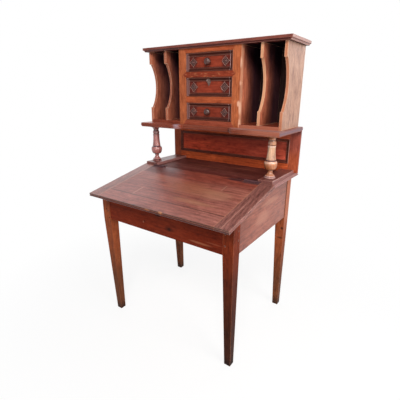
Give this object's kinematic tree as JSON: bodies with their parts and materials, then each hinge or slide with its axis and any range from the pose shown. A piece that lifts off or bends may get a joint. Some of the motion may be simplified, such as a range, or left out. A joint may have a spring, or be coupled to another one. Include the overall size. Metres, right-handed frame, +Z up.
{
  "type": "slant-front desk",
  "caption": "Slant-front writing desk: hinged sloping lid over a well, leaning tapered legs, turned columns, a shelf, and a case of pigeonholes with small carved drawers.",
  "frame": {"origin": "middle of the desk's width and depth, at floor level", "axes": "+X to the right of a person who sits at the desk, +Y to the back (the lid's front edge is at -Y), +Z up"},
  "size_m": [0.864, 0.747, 1.48],
  "materials": {
    "walnut": "waxed brown walnut with straight grain, satin, worn at the arrises",
    "red_wood": "deep red-brown stained wood with knots, satin varnish",
    "lid_wood": "faded mauve-brown polished wood with a soft sheen",
    "oak": "orange-brown quarter-sawn oak with flecks, varnished",
    "pine": "bare aged softwood",
    "dark_wood": "nearly black stained wood, glossy on its crests",
    "iron": "dark worn iron",
    "brass": "dull tarnished brass"
  },
  "bodies": {
    "desk": {"front_left_leg": "walnut", "front_right_leg": "walnut", "back_left_leg": "walnut", "back_right_leg": "walnut", "front_apron": "red_wood", "back_apron": "red_wood", "left_apron": "walnut", "right_apron": "walnut", "apron_pegs": "dark_wood", "well_floor": "pine", "well_bearers": "pine", "fixed_top": "lid_wood", "fixed_hinge_leaves": "iron", "fixed_hinge_screws": "iron", "hinge_pins": "iron", "lid_lock_case": "iron", "column_strips": "walnut", "left_column": "oak", "right_column": "oak", "back_panel_stiles": "walnut", "back_panel_rails": "walnut", "back_panel_board": "red_wood", "back_panel_moulding": "dark_wood", "shelf": "walnut", "pigeonhole_floors": "walnut", "left_side": "walnut", "right_side": "walnut", "left_divider": "walnut", "right_divider": "walnut", "drawer_walls": "walnut", "face_stiles": "oak", "bottom_face_rail": "red_wood", "lower_face_rail": "oak", "upper_face_rail": "oak", "top_face_rail": "oak", "drawer_runners": "pine", "drawer_guides": "pine", "case_back": "red_wood", "cornice": "dark_wood"},
    "lid": {"lid_panel": "lid_wood", "lid_left_cleat": "lid_wood", "lid_right_cleat": "lid_wood", "lid_hinge_leaves": "iron", "lid_hinge_screws": "iron", "lid_strike": "iron"},
    "lid_lock_bolt": {"lid_lock_bolt": "iron"},
    "top_drawer": {"top_drawer_front": "red_wood", "top_drawer_box": "pine", "top_drawer_trim": "dark_wood", "top_drawer_knob": "dark_wood"},
    "middle_drawer": {"middle_drawer_front": "red_wood", "middle_drawer_box": "pine", "middle_drawer_trim": "dark_wood", "keyhole_plate": "brass", "drawer_lock_case": "brass"},
    "drawer_lock_bolt": {"drawer_lock_bolt": "brass"},
    "bottom_drawer": {"bottom_drawer_front": "red_wood", "bottom_drawer_box": "pine", "bottom_drawer_trim": "dark_wood", "bottom_drawer_knob": "dark_wood"}
  },
  "joints": [
    {"name": "lid_hinge", "type": "hinge", "parent": "desk", "child": "lid", "pos_m": [0, 0.047, 0.834], "axis": [-1, 0, 0], "range_deg": [0, 96]},
    {"name": "top_drawer_slide", "type": "slide", "parent": "desk", "child": "top_drawer", "axis": [0, 1, 0], "range_m": [-0.15, 0]},
    {"name": "middle_drawer_slide", "type": "slide", "parent": "desk", "child": "middle_drawer", "axis": [0, 1, 0], "range_m": [-0.15, 0]},
    {"name": "bottom_drawer_slide", "type": "slide", "parent": "desk", "child": "bottom_drawer", "axis": [0, 1, 0], "range_m": [-0.15, 0]},
    {"name": "lid_lock_bolt_slide", "type": "slide", "parent": "desk", "child": "lid_lock_bolt", "axis": [1, 0, 0], "range_m": [0, 0.008]},
    {"name": "drawer_lock_bolt_slide", "type": "slide", "parent": "middle_drawer", "child": "drawer_lock_bolt", "axis": [0, 0, 1], "range_m": [0, 0.006]}
  ]
}
